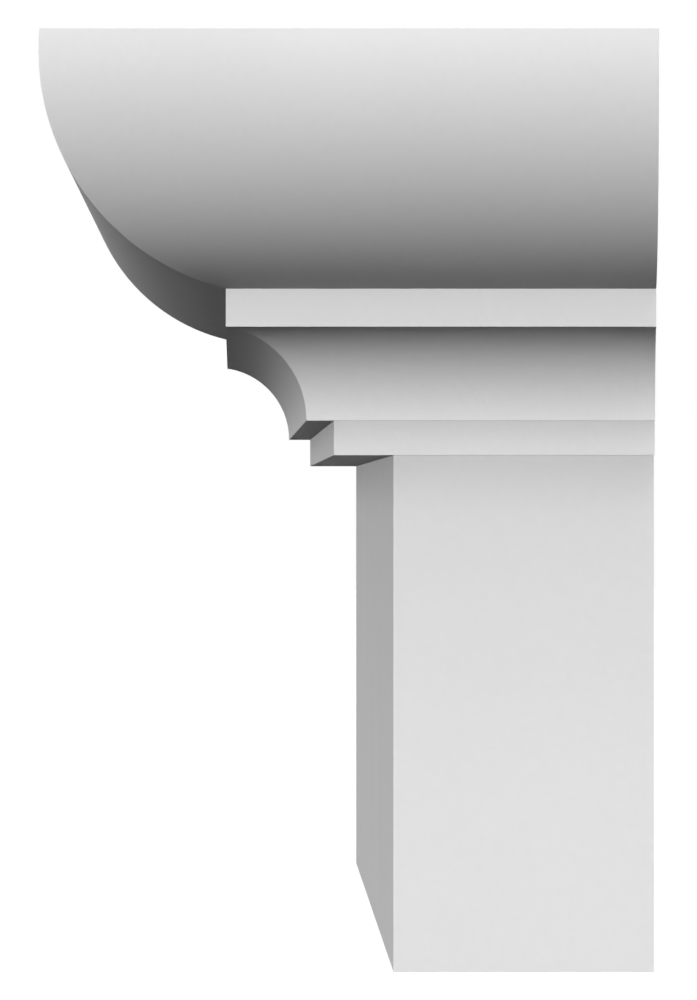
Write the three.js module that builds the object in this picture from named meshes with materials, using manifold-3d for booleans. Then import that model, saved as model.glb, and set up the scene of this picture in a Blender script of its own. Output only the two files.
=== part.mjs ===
// Window crosshead: a plain frieze board under a crown of bed fillet, cove, corona fillet and ovolo.
// The crown returns to the wall at both ends with 45 degree mitres, and the whole is one casting.
//
// Millimetres, +Z up, +X along the head. The front faces -Y and the flat wall face looks along +Y.
// The origin is the centre of the flat underside, which is the face that the crosshead stands on.

import * as THREE from "three";
import { mergeVertices } from "three/addons/utils/BufferGeometryUtils.js";
import Module from "manifold-3d";

// Frieze board
const friezeLength = 2133.6; // the nominal width, 84 in, end to end of the board
const friezeDepth = 63.5; // wall face to board face, 2 1/2 in
const friezeHeight = 125.92; // board face that shows below the crown, for 228.6 (9 in) in all

// Crown, from the board upwards. A reach is how far a moulding stands out past the one below it.
const bedFilletHeight = 8.4;
const bedFilletReach = 14.55;
const coveStep = 6.7; // narrow soffit from the bed fillet to the foot of the cove
const coveReach = 19.6; // from the foot of the cove to the corona fillet
const coveRadius = 22.95;
const coronaFilletHeight = 9.2;
const ovoloReach = 45.1; // from the corona fillet to the widest point of the ovolo
const ovoloRadius = 58.6;
const ovoloLipHeight = 5.35; // from that widest point up to the top edge

// Finish of the modelled solid
const arcDivisions = 14; // each arc is drawn with twice as many chords
const mitreAllowance = 25; // extra material on a run before the mitres are cut

const primedWhite = new THREE.MeshStandardMaterial({
  color: 0xe6e6e5,
  roughness: 0.62,
  metalness: 0,
});

// Height gained by an arc that starts upright and moves sideways by reach.
function arcRise(radius, reach) {
  return Math.sqrt(radius ** 2 - (radius - reach) ** 2);
}

// The moulded edge from the foot of the board to the top: x is the overhang past the board's face,
// y is the height above the underside.
function mouldedEdge() {
  const bedTop = friezeHeight + bedFilletHeight;
  const coveFoot = bedFilletReach + coveStep;
  const coronaFace = coveFoot + coveReach;
  const coronaFoot = bedTop + arcRise(coveRadius, coveReach);
  const coronaTop = coronaFoot + coronaFilletHeight;
  const ovoloWidest = coronaFace + ovoloReach;
  const ovoloCentreHeight = coronaTop + arcRise(ovoloRadius, ovoloReach);

  const coveEnd = Math.PI - Math.asin((coronaFoot - bedTop) / coveRadius);
  const ovoloStart = -Math.asin((ovoloCentreHeight - coronaTop) / ovoloRadius);
  const ovoloEnd = Math.asin(ovoloLipHeight / ovoloRadius);

  return new THREE.Path()
    .moveTo(0, 0)
    .lineTo(0, friezeHeight)
    .lineTo(bedFilletReach, friezeHeight)
    .lineTo(bedFilletReach, bedTop)
    .lineTo(coveFoot, bedTop)
    .absarc(coveFoot + coveRadius, bedTop, coveRadius, Math.PI, coveEnd, true)
    .lineTo(coronaFace, coronaTop)
    .absarc(
      ovoloWidest - ovoloRadius,
      ovoloCentreHeight,
      ovoloRadius,
      ovoloStart,
      ovoloEnd,
      false,
    )
    .getPoints(arcDivisions);
}

// A closed three.js geometry as a solid that can be cut.
function solidOf(wasm, geometry) {
  const bare = geometry.clone().deleteAttribute("normal").deleteAttribute("uv");
  const merged = mergeVertices(bare, 1e-4);
  return new wasm.Manifold(
    new wasm.Mesh({
      numProp: 3,
      vertProperties: merged.getAttribute("position").array,
      triVerts: new Uint32Array(merged.index.array),
    }),
  );
}

// A solid as a three.js geometry, with flat faces.
function geometryOf(solid) {
  const mesh = solid.getMesh();
  const geometry = new THREE.BufferGeometry();
  geometry.setAttribute("position", new THREE.BufferAttribute(mesh.vertProperties, 3));
  geometry.setIndex(new THREE.BufferAttribute(mesh.triVerts, 1));
  const faceted = geometry.toNonIndexed();
  faceted.computeVertexNormals();
  return faceted;
}

// The moulding of the front, run long: its section stands in the plane across the head.
function frontRun(edge) {
  const wallFace = friezeDepth / 2;
  const top = edge.at(-1).y;
  const section = edge.map(({ x, y }) => new THREE.Vector2(friezeDepth / 2 + x, y));
  section.push(new THREE.Vector2(-wallFace, top), new THREE.Vector2(-wallFace, 0));
  const overhang = Math.max(...edge.map(({ x }) => x));
  const length = friezeLength + 2 * (overhang + mitreAllowance);
  return new THREE.ExtrudeGeometry(new THREE.Shape(section), { depth: length, bevelEnabled: false })
    .translate(0, 0, -length / 2)
    .rotateX(Math.PI / 2)
    .rotateZ(-Math.PI / 2);
}

// The moulding of both ends, run deep: its outline is the front elevation of the crosshead.
function endReturns(edge) {
  const halfLength = friezeLength / 2;
  const right = edge.map(({ x, y }) => new THREE.Vector2(halfLength + x, y));
  const left = right.map(({ x, y }) => new THREE.Vector2(-x, y)).reverse();
  const overhang = Math.max(...edge.map(({ x }) => x));
  const depth = friezeDepth + overhang + 2 * mitreAllowance;
  return new THREE.ExtrudeGeometry(new THREE.Shape([...right, ...left]), { depth, bevelEnabled: false })
    .rotateX(Math.PI / 2)
    .translate(0, friezeDepth / 2 + mitreAllowance, 0);
}

// What both runs share is the crosshead: the crown mitres where front and end mouldings meet.
async function crosshead() {
  const wasm = await Module();
  wasm.setup();
  const edge = mouldedEdge();
  const casting = solidOf(wasm, frontRun(edge)).intersect(solidOf(wasm, endReturns(edge)));
  const mesh = new THREE.Mesh(geometryOf(casting), primedWhite);
  mesh.name = "crosshead";
  return mesh;
}

const group = new THREE.Group();
group.add(await crosshead());

export default group;
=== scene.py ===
"""A primed window crosshead, dressed and lit for a plain white studio.

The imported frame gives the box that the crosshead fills. Its one casting is modelled again inside that
box, with finer mouldings and eased arrises, and takes the finish of factory-primed polyurethane.

Lengths are metres in the row frame: +X along the head, +Y into the wall, +Z up.
"""

import logging
import math
from collections.abc import Callable, Iterator
from dataclasses import dataclass
from enum import Enum, IntEnum

import bpy
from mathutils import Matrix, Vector

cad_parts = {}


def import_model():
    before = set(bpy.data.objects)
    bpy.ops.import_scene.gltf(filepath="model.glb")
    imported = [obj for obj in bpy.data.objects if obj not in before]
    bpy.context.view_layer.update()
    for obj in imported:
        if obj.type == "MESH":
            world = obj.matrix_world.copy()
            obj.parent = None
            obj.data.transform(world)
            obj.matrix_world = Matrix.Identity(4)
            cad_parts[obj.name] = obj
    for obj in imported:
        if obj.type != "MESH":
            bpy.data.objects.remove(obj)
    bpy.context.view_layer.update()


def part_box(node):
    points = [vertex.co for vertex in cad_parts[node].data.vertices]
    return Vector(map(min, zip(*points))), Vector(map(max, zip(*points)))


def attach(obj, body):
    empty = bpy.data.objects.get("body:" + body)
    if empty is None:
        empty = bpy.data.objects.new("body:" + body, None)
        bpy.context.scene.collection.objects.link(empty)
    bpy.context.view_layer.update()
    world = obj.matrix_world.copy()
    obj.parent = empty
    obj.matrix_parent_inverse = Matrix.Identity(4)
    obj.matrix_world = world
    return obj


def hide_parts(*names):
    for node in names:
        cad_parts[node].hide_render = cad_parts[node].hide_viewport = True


LOG = logging.getLogger("window_crosshead")

CAD_NODE = "crosshead"
BODY = "root"

Tone = tuple[float, float, float, float]


def grey(lightness: float) -> Tone:
    """A neutral opaque colour of a linear lightness."""
    return (lightness, lightness, lightness, 1.0)


class Arithmetic(Enum):
    """The Math node's operations that the finishes use."""

    ADD = "ADD"
    SUBTRACT = "SUBTRACT"
    MULTIPLY = "MULTIPLY"


class ColourMix(IntEnum):
    """The places of a Mix node's colour sockets, because their names aren't theirs alone."""

    SHARE = 0
    LOW = 6
    HIGH = 7
    MIXED = 2


class Signal:
    """An output socket. Where it carries a number, arithmetic on it adds Math nodes."""

    def __init__(self, nodes: "NodeTree", socket: bpy.types.NodeSocket) -> None:
        """Wraps an output socket of a tree."""
        self.nodes = nodes
        self.socket = socket

    def _math(self, operation: Arithmetic, first: "Signal | float", second: "Signal | float") -> "Signal":
        """One Math node over two values."""
        node = self.nodes.add("ShaderNodeMath", {"operation": operation.value}, {0: first, 1: second})
        return self.nodes.signal(node)

    def __add__(self, other: "Signal | float") -> "Signal":
        """self + other."""
        return self._math(Arithmetic.ADD, self, other)

    def __radd__(self, other: float) -> "Signal":
        """other + self."""
        return self._math(Arithmetic.ADD, other, self)

    def __sub__(self, other: "Signal | float") -> "Signal":
        """self - other."""
        return self._math(Arithmetic.SUBTRACT, self, other)

    def __rsub__(self, other: float) -> "Signal":
        """other - self."""
        return self._math(Arithmetic.SUBTRACT, other, self)

    def __mul__(self, other: "Signal | float") -> "Signal":
        """self * other."""
        return self._math(Arithmetic.MULTIPLY, self, other)

    def __rmul__(self, other: float) -> "Signal":
        """other * self."""
        return self._math(Arithmetic.MULTIPLY, other, self)


@dataclass(frozen=True)
class Clouds:
    """Soft noise: how far apart its clouds are, how finely they are detailed, and how twisted."""

    size: float
    detail: float
    distortion: float = 0.0


class NodeTree:
    """The nodes of a material or of the world, started empty."""

    def __init__(self, owner: bpy.types.Material | bpy.types.World) -> None:
        """Clears the owner's nodes.

        Args:
            owner: the material or world.
        """
        owner.use_nodes = True
        self.tree = owner.node_tree
        self.tree.nodes.clear()

    def add(
        self,
        kind: str,
        settings: dict[str, object] | None = None,
        values: dict[str | int, object] | None = None,
    ) -> bpy.types.Node:
        """Adds a node.

        Args:
            kind: the node's type.
            settings: what is set on the node first; "stops" places a ramp's stops.
            values: a number, a colour or a link for each input socket, by its name or place.

        Returns:
            The new node.
        """
        node = self.tree.nodes.new(kind)
        for name, setting in (settings or {}).items():
            if name == "stops":
                self._place_stops(node, setting)
            else:
                setattr(node, name, setting)
        for name, value in (values or {}).items():
            self._feed(node.inputs[name], value)
        return node

    def signal(self, node: bpy.types.Node, output: str | int = 0) -> Signal:
        """One output of a node."""
        return Signal(self, node.outputs[output])

    def place(self) -> Signal:
        """Where a point is on its own piece, in metres."""
        return self.signal(self.add("ShaderNodeTexCoord"), "Object")

    def noise(self, place: Signal, clouds: Clouds) -> Signal:
        """Soft noise from 0 to 1.

        Args:
            place: the coordinates.
            clouds: the noise's sizes.

        Returns:
            The noise's value.
        """
        values = {
            "Vector": place,
            "Scale": 1.0 / clouds.size,
            "Detail": clouds.detail,
            "Distortion": clouds.distortion,
        }
        return self.signal(self.add("ShaderNodeTexNoise", values=values), "Fac")

    def ramp(self, value: Signal, stops: list[tuple[float, float]]) -> Signal:
        """The lightness at a value, on a ramp whose stops are pairs of place and lightness."""
        return self.signal(self.add("ShaderNodeValToRGB", {"stops": stops}, {"Fac": value}))

    def blend(self, share: Signal, low: Tone | Signal, high: Tone | Signal) -> Signal:
        """A colour between two, the low one where the share is 0 and the high one where it is 1."""
        values = {ColourMix.SHARE: share, ColourMix.LOW: low, ColourMix.HIGH: high}
        return self.signal(self.add("ShaderNodeMix", {"data_type": "RGBA"}, values), ColourMix.MIXED)

    def relief(self, height: Signal) -> Signal:
        """The normal of a surface with this height on it, in metres."""
        return self.signal(self.add("ShaderNodeBump", values={"Distance": 1.0, "Height": height}))

    def choice(self, share: Signal, low: bpy.types.Node, high: bpy.types.Node) -> Signal:
        """One of two shaders, the low one where the share is 0 and the high one where it is 1."""
        values = {0: share, 1: self.signal(low), 2: self.signal(high)}
        return self.signal(self.add("ShaderNodeMixShader", values=values))

    def principled(self, values: dict[str | int, object]) -> None:
        """Ends a material in a Principled shader with these values."""
        shader = self.add("ShaderNodeBsdfPrincipled", values=values)
        self.add("ShaderNodeOutputMaterial", values={"Surface": self.signal(shader)})

    def _feed(self, socket: bpy.types.NodeSocket, value: object) -> None:
        """Links a signal to an input socket, or sets the socket's own value.

        Args:
            socket: the input socket.
            value: the signal, number or colour.
        """
        if isinstance(value, Signal):
            self.tree.links.new(value.socket, socket)
        else:
            socket.default_value = value

    @staticmethod
    def _place_stops(node: bpy.types.Node, stops: list[tuple[float, float]]) -> None:
        """Sets a ramp's stops, the first two on those that it starts with.

        Args:
            node: the ramp.
            stops: each stop's place and lightness, from low to high places.
        """
        elements = node.color_ramp.elements
        while len(elements) < len(stops):
            elements.new(1.0)
        for element, (position, lightness) in zip(elements, stops):
            element.position = position
            element.color = grey(lightness)


@dataclass(frozen=True)
class SprayedPrimer:
    """Factory primer: matt white and faintly uneven, with fine speckle, spray peel and a slow ripple."""

    name: str = "sprayed_primer"
    full_coat: float = 0.837
    thin_coat: float = 0.748
    roughness: float = 0.58
    roughness_swing: float = 0.08
    specular: float = 0.35
    coat: Clouds = Clouds(size=0.085, detail=3.0, distortion=0.4)
    speckle: Clouds = Clouds(size=0.0024, detail=3.0)
    speckle_share: float = 0.35
    peel: Clouds = Clouds(size=0.0026, detail=1.5)
    peel_depth: float = 0.00007
    ripple: Clouds = Clouds(size=0.13, detail=1.0)
    ripple_depth: float = 0.0006

    def material(self) -> bpy.types.Material:
        """Makes the finish.

        Returns:
            The new material.
        """
        made = bpy.data.materials.new(self.name)
        nodes = NodeTree(made)
        place = nodes.place()
        coat = nodes.noise(place, self.coat)
        speckle = nodes.noise(place, self.speckle)
        peel = nodes.noise(place, self.peel)
        ripple = nodes.noise(place, self.ripple)
        cover = coat * (1.0 - self.speckle_share) + speckle * self.speckle_share
        nodes.principled(
            {
                "Base Color": nodes.blend(cover, grey(self.thin_coat), grey(self.full_coat)),
                "Roughness": self.roughness + (speckle - coat) * self.roughness_swing,
                "Specular IOR Level": self.specular,
                "Normal": nodes.relief(peel * self.peel_depth + ripple * self.ripple_depth),
            }
        )
        return made


@dataclass(frozen=True)
class MouldedBack:
    """The wall face as it leaves the mould: a thinner coat over a coarser skin, and pinholes in painted
    shade.
    """

    name: str = "moulded_back"
    full_coat: float = 0.78
    thin_coat: float = 0.72
    # the grey painted into each pinhole as the shade inside it
    pinhole_painted_shade: float = 0.50
    roughness: float = 0.70
    roughness_swing: float = 0.12
    specular: float = 0.3
    coat: Clouds = Clouds(size=0.06, detail=4.0, distortion=0.8)
    skin: Clouds = Clouds(size=0.006, detail=3.0, distortion=0.6)
    skin_share: float = 0.3
    skin_depth: float = 0.00018
    pinhole_spacing: float = 0.014
    pinhole_reach: float = 0.055  # as a share of the spacing
    pinhole_depth: float = 0.0002

    def material(self) -> bpy.types.Material:
        """Makes the finish.

        Returns:
            The new material.
        """
        made = bpy.data.materials.new(self.name)
        nodes = NodeTree(made)
        place = nodes.place()
        coat = nodes.noise(place, self.coat)
        skin = nodes.noise(place, self.skin)
        cells = nodes.add(
            "ShaderNodeTexVoronoi",
            {"feature": "F1"},
            {"Vector": place, "Scale": 1.0 / self.pinhole_spacing},
        )
        hole = nodes.ramp(nodes.signal(cells, "Distance"), [(0.0, 1.0), (self.pinhole_reach, 0.0)])
        cover = coat * (1.0 - self.skin_share) + skin * self.skin_share
        coated = nodes.blend(cover, grey(self.thin_coat), grey(self.full_coat))
        nodes.principled(
            {
                # painted shade: each pinhole is blended to a darker grey where it dips
                "Base Color": nodes.blend(hole, coated, grey(self.pinhole_painted_shade)),
                "Roughness": self.roughness + (skin - coat) * self.roughness_swing,
                "Specular IOR Level": self.specular,
                "Normal": nodes.relief(skin * self.skin_depth - hole * self.pinhole_depth),
            }
        )
        return made


class Side(Enum):
    """The casting's two kinds of face, each with its own finish, in the order of its material slots."""

    SHOWN = 0
    WALL = 1


@dataclass(frozen=True)
class Station:
    """One level of the moulded edge: its height, and how far it hangs over the board's face."""

    height: float
    overhang: float


@dataclass(frozen=True)
class CrownMoulding:
    """The crown from the board upwards. A reach is how far a moulding stands out past the one below it."""

    bed_fillet_height: float = 0.0084
    bed_fillet_reach: float = 0.01455
    cove_step: float = 0.0067
    cove_reach: float = 0.0196
    cove_radius: float = 0.02295
    corona_fillet_height: float = 0.0092
    ovolo_reach: float = 0.0451
    ovolo_radius: float = 0.0586
    ovolo_lip_height: float = 0.00535
    cove_chords: int = 36
    ovolo_chords: int = 56

    @property
    def cove_angle(self) -> float:
        """How far the cove turns, from upright at its foot."""
        return math.acos(1.0 - self.cove_reach / self.cove_radius)

    @property
    def ovolo_start(self) -> float:
        """The ovolo's lowest point, as an angle below its widest one."""
        return math.acos(1.0 - self.ovolo_reach / self.ovolo_radius)

    @property
    def ovolo_end(self) -> float:
        """The ovolo's top edge, as an angle above its widest point."""
        return math.asin(self.ovolo_lip_height / self.ovolo_radius)

    @property
    def overhang(self) -> float:
        """How far the crown's widest point hangs over the board's face."""
        return self.bed_fillet_reach + self.cove_step + self.cove_reach + self.ovolo_reach

    @property
    def height(self) -> float:
        """The crown's own height.

        Returns:
            The height from the crown's underside to its top.
        """
        cove_rise = self.cove_radius * math.sin(self.cove_angle)
        ovolo_rise = self.ovolo_radius * math.sin(self.ovolo_start) + self.ovolo_lip_height
        return self.bed_fillet_height + cove_rise + self.corona_fillet_height + ovolo_rise

    def stations(self, foot: float) -> Iterator[Station]:
        """The levels of the moulded edge, going up.

        Args:
            foot: the height of the crown's underside.

        Yields:
            The next level.
        """
        bed_top = foot + self.bed_fillet_height
        cove_foot = self.bed_fillet_reach + self.cove_step
        yield Station(foot, 0.0)
        yield Station(foot, self.bed_fillet_reach)
        yield Station(bed_top, self.bed_fillet_reach)
        yield Station(bed_top, cove_foot)
        for chord in range(1, self.cove_chords + 1):
            turn = self.cove_angle * chord / self.cove_chords
            yield Station(
                bed_top + self.cove_radius * math.sin(turn),
                cove_foot + self.cove_radius * (1.0 - math.cos(turn)),
            )
        corona_top = bed_top + self.cove_radius * math.sin(self.cove_angle) + self.corona_fillet_height
        yield Station(corona_top, cove_foot + self.cove_reach)
        widest = corona_top + self.ovolo_radius * math.sin(self.ovolo_start)
        centre = self.overhang - self.ovolo_radius
        for chord in range(1, self.ovolo_chords + 1):
            turn = (self.ovolo_start + self.ovolo_end) * chord / self.ovolo_chords - self.ovolo_start
            yield Station(
                widest + self.ovolo_radius * math.sin(turn),
                centre + self.ovolo_radius * math.cos(turn),
            )


@dataclass
class Casting:
    """The one casting: a frieze board under a crown that mitres and returns to the wall at both ends."""

    low: Vector
    high: Vector
    crown: CrownMoulding
    shown_finish: SprayedPrimer
    wall_finish: MouldedBack
    name: str = "moulded_crosshead"
    arris_radius: float = 0.00004
    arris_steps: int = 3
    arris_turn: float = math.radians(8.0)  # faces that meet at a smaller turn are one surface
    same_place: float = 0.00001  # points no further than this from the wall line lie on it

    def build(self) -> bpy.types.Object:
        """Models the casting and dresses it.

        Returns:
            The finished piece.
        """
        piece = self._lay_underside()
        self._raise_mouldings()
        self._join_wall_face(piece)
        self._ease_arrises(piece)
        self._dress(piece)
        return piece

    @property
    def middle(self) -> float:
        """The middle of the head along X."""
        return (self.low.x + self.high.x) / 2.0

    @property
    def frieze_length(self) -> float:
        """The board's length, end to end."""
        return self.high.x - self.low.x - 2.0 * self.crown.overhang

    @property
    def frieze_depth(self) -> float:
        """The board's thickness, from the wall to its face."""
        return self.high.y - self.low.y - self.crown.overhang

    def _lay_underside(self) -> bpy.types.Object:
        """Lays the board's underside, a rectangle against the wall line.

        Returns:
            The piece, in edit mode with its one face selected.
        """
        bpy.ops.object.select_all(action="DESELECT")
        bpy.ops.mesh.primitive_plane_add(size=1.0)
        piece = bpy.context.object
        piece.name = self.name
        piece.data.name = self.name
        bpy.ops.object.mode_set(mode="EDIT")
        bpy.ops.mesh.select_mode(type="FACE")
        bpy.ops.mesh.select_all(action="SELECT")
        self._stretch(self.frieze_length, self.frieze_depth, Vector())
        place = (self.middle, self.high.y - self.frieze_depth / 2.0, self.low.z)
        bpy.ops.transform.translate(value=place)
        return piece

    def _raise_mouldings(self) -> None:
        """Draws the top of the block up and outwards, level by level. Each level keeps to the wall line."""
        below = Station(self.low.z, 0.0)
        for level in self.crown.stations(self.high.z - self.crown.height):
            bpy.ops.mesh.extrude_region_move(
                TRANSFORM_OT_translate={"value": (0.0, 0.0, level.height - below.height)},
            )
            self._stretch(
                (self.frieze_length + 2.0 * level.overhang) / (self.frieze_length + 2.0 * below.overhang),
                (self.frieze_depth + level.overhang) / (self.frieze_depth + below.overhang),
                Vector((self.middle, self.high.y, level.height)),
            )
            below = level

    def _join_wall_face(self, piece: bpy.types.Object) -> None:
        """Makes the strips against the wall one flat face, and turns every face outwards.

        Args:
            piece: the casting, in edit mode. It is left in object mode.
        """
        vertices = piece.data.vertices
        wall = self.high.y - self.same_place
        self._select_faces(piece, lambda face: all(vertices[v].co.y > wall for v in face.vertices))
        bpy.ops.mesh.dissolve_faces()
        bpy.ops.mesh.select_all(action="SELECT")
        bpy.ops.mesh.normals_make_consistent(inside=False)
        bpy.ops.object.mode_set(mode="OBJECT")

    def _ease_arrises(self, piece: bpy.types.Object) -> None:
        """Takes the sharpness off every arris and mitre, as a mould does, and keeps the flats flat.

        Args:
            piece: the casting.
        """
        bpy.ops.object.shade_smooth()
        easing = piece.modifiers.new("eased_arrises", "BEVEL")
        easing.width = self.arris_radius
        easing.segments = self.arris_steps
        easing.limit_method = "ANGLE"
        easing.angle_limit = self.arris_turn
        easing.harden_normals = True
        bpy.ops.object.modifier_apply(modifier=easing.name)

    def _dress(self, piece: bpy.types.Object) -> None:
        """Gives the wall face its own finish, and the rest the primer.

        Args:
            piece: the casting.
        """
        piece.data.materials.append(self.shown_finish.material())
        piece.data.materials.append(self.wall_finish.material())
        for face in piece.data.polygons:
            flat_to_wall = face.normal.y > math.cos(self.arris_turn)
            face.material_index = (Side.WALL if flat_to_wall else Side.SHOWN).value

    @staticmethod
    def _stretch(along: float, across: float, centre: Vector) -> None:
        """Scales what is selected along X and Y, about a point."""
        bpy.ops.transform.resize(value=(along, across, 1.0), center_override=centre)

    @staticmethod
    def _select_faces(piece: bpy.types.Object, wanted: Callable[[bpy.types.MeshPolygon], bool]) -> None:
        """Selects faces by a test, from edit mode and back in it.

        Args:
            piece: the object in edit mode.
            wanted: says whether a face is selected.
        """
        bpy.ops.mesh.select_all(action="DESELECT")
        bpy.ops.object.mode_set(mode="OBJECT")
        for face in piece.data.polygons:
            face.select = wanted(face)
        bpy.ops.object.mode_set(mode="EDIT")


class Reflected(Enum):
    """How often light may be passed on from one surface to the next."""

    NEVER = 0
    FREELY = 12


@dataclass(frozen=True)
class SoftLamp:
    """A far, round lamp. Azimuth 0 is in front of the crosshead, and 90 is beyond its +X end, in degrees."""

    name: str
    azimuth: float
    elevation: float
    spread: float
    strength: float
    shadowed: bool = False

    def hang(self, reflected: Reflected) -> None:
        """Makes the lamp.

        Args:
            reflected: how often its light may be passed on.
        """
        turn = math.radians(self.azimuth)
        rise = math.radians(self.elevation)
        toward = Vector((math.sin(turn) * math.cos(rise), -math.cos(turn) * math.cos(rise), math.sin(rise)))
        bpy.ops.object.light_add(type="SUN", rotation=toward.to_track_quat("Z", "Y").to_euler())
        lamp = bpy.context.object
        lamp.name = self.name
        lamp.data.energy = self.strength
        lamp.data.angle = math.radians(self.spread)
        lamp.data.use_shadow = self.shadowed
        lamp.data.cycles.use_multiple_importance_sampling = self.shadowed
        lamp.data.cycles.max_bounces = reflected.value


@dataclass(frozen=True)
class SkyBand:
    """The sky's light at one height. Its rise goes from -1, straight down, to 1, straight up."""

    rise: float
    light: float


@dataclass(frozen=True)
class Studio:
    """A plain pale floor under a white surround, with plain soft light.

    Surfaces pass the light of the filling lamps on to each other. That of the direct lamps and of the sky
    stops at the first surface.
    """

    filling_lamps: tuple[SoftLamp, ...] = (
        SoftLamp("corner_key", azimuth=45.0, elevation=45.0, spread=90.0, strength=1.30, shadowed=True),
        SoftLamp("end_fill", azimuth=90.0, elevation=20.0, spread=60.0, strength=0.81),
        SoftLamp("front_fill", azimuth=0.0, elevation=20.0, spread=60.0, strength=0.33),
    )
    direct_lamps: tuple[SoftLamp, ...] = (
        SoftLamp("end_light", azimuth=90.0, elevation=15.0, spread=45.0, strength=1.17),
        SoftLamp("front_light", azimuth=0.0, elevation=20.0, spread=60.0, strength=0.655),
        SoftLamp("far_end_light", azimuth=262.0, elevation=7.0, spread=12.0, strength=1.5),
        SoftLamp("wall_light", azimuth=186.0, elevation=5.0, spread=8.0, strength=1.5),
        SoftLamp("underside_light", azimuth=250.0, elevation=-20.0, spread=6.0, strength=0.6, shadowed=True),
    )
    sky: tuple[SkyBand, ...] = (
        SkyBand(rise=-0.06, light=0.0),
        SkyBand(rise=0.06, light=0.10),
        SkyBand(rise=0.50, light=0.14),
        SkyBand(rise=0.85, light=0.46),
        SkyBand(rise=1.0, light=0.46),
    )
    floor_side: float = 60.0
    floor_gap: float = 0.00005
    floor_glow: float = 0.9
    floor_lightness: float = 0.2

    def build(self) -> None:
        """Makes the surround, the floor and the lamps, and has tones shown as they are lit."""
        self._surround()
        self._floor()
        for lamp in self.filling_lamps:
            lamp.hang(Reflected.FREELY)
        for lamp in self.direct_lamps:
            lamp.hang(Reflected.NEVER)
        bpy.context.scene.view_settings.view_transform = "Standard"

    def _surround(self) -> None:
        """White to the camera, and to the crosshead a dim sky that is brightest overhead."""
        world = bpy.data.worlds.new("white_surround")
        world.cycles.max_bounces = Reflected.NEVER.value
        bpy.context.scene.world = world
        nodes = NodeTree(world)
        direction = nodes.signal(nodes.add("ShaderNodeTexCoord"), "Generated")
        rise = nodes.signal(nodes.add("ShaderNodeSeparateXYZ", values={"Vector": direction}), "Z")
        half = 0.5  # takes a rise, from -1 to 1, to a place on a ramp, from 0 to 1
        stops = [(band.rise * half + half, band.light) for band in self.sky]
        sky = nodes.add("ShaderNodeBackground", values={"Color": nodes.ramp(rise * half + half, stops)})
        white = nodes.add("ShaderNodeBackground", values={"Color": grey(1.0)})
        seen = nodes.signal(nodes.add("ShaderNodeLightPath"), "Is Camera Ray")
        nodes.add("ShaderNodeOutputWorld", values={"Surface": nodes.choice(seen, sky, white)})

    def _floor(self) -> None:
        """A pale floor that glows too brightly to show a shadow, and is clear from below."""
        bpy.ops.object.select_all(action="DESELECT")
        bpy.ops.mesh.primitive_plane_add(size=self.floor_side, location=(0.0, 0.0, -self.floor_gap))
        floor = bpy.context.object
        floor.name = "floor"
        floor.visible_diffuse = False
        floor.visible_glossy = False
        floor.visible_shadow = False
        made = bpy.data.materials.new("pale_floor")
        nodes = NodeTree(made)
        matt = nodes.add("ShaderNodeBsdfDiffuse", values={"Color": grey(self.floor_lightness)})
        glow = nodes.add("ShaderNodeEmission", values={"Color": grey(1.0), "Strength": self.floor_glow})
        pale = nodes.add("ShaderNodeAddShader", values={0: nodes.signal(matt), 1: nodes.signal(glow)})
        clear = nodes.add("ShaderNodeBsdfTransparent")
        below = nodes.signal(nodes.add("ShaderNodeNewGeometry"), "Backfacing")
        nodes.add("ShaderNodeOutputMaterial", values={"Surface": nodes.choice(below, pale, clear)})
        floor.data.materials.append(made)


@dataclass(frozen=True)
class EndCamera:
    """A long lens beyond the +X end, at half height, that looks along the head and slightly to the wall."""

    place: tuple[float, float, float] = (8.14456, -0.07093, 0.11443)
    turn_to_wall: float = math.radians(0.2286)
    tilt_up: float = math.radians(0.0048)
    lens: float = 1045.4  # millimetres
    far_limit: float = 200.0

    def set_up(self) -> None:
        """Makes the camera and gives it to the scene."""
        looking = Vector(
            (
                -math.cos(self.turn_to_wall) * math.cos(self.tilt_up),
                math.sin(self.turn_to_wall) * math.cos(self.tilt_up),
                math.sin(self.tilt_up),
            )
        )
        bpy.ops.object.camera_add(location=self.place, rotation=looking.to_track_quat("-Z", "Y").to_euler())
        camera = bpy.context.object
        camera.name = "end_camera"
        camera.data.lens = self.lens
        camera.data.clip_end = self.far_limit
        bpy.context.scene.camera = camera


def main() -> None:
    """Loads the frame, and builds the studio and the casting."""
    logging.basicConfig(level=logging.INFO, format="%(name)s: %(message)s")
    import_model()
    EndCamera().set_up()
    Studio().build()
    low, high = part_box(CAD_NODE)
    casting = Casting(low, high, CrownMoulding(), SprayedPrimer(), MouldedBack())
    piece = casting.build()
    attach(piece, BODY)
    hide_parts(CAD_NODE)
    LOG.info(
        "%s: board %.4f by %.4f m, %d faces",
        piece.name,
        casting.frieze_length,
        casting.frieze_depth,
        len(piece.data.polygons),
    )


if __name__ == "__main__":
    main()
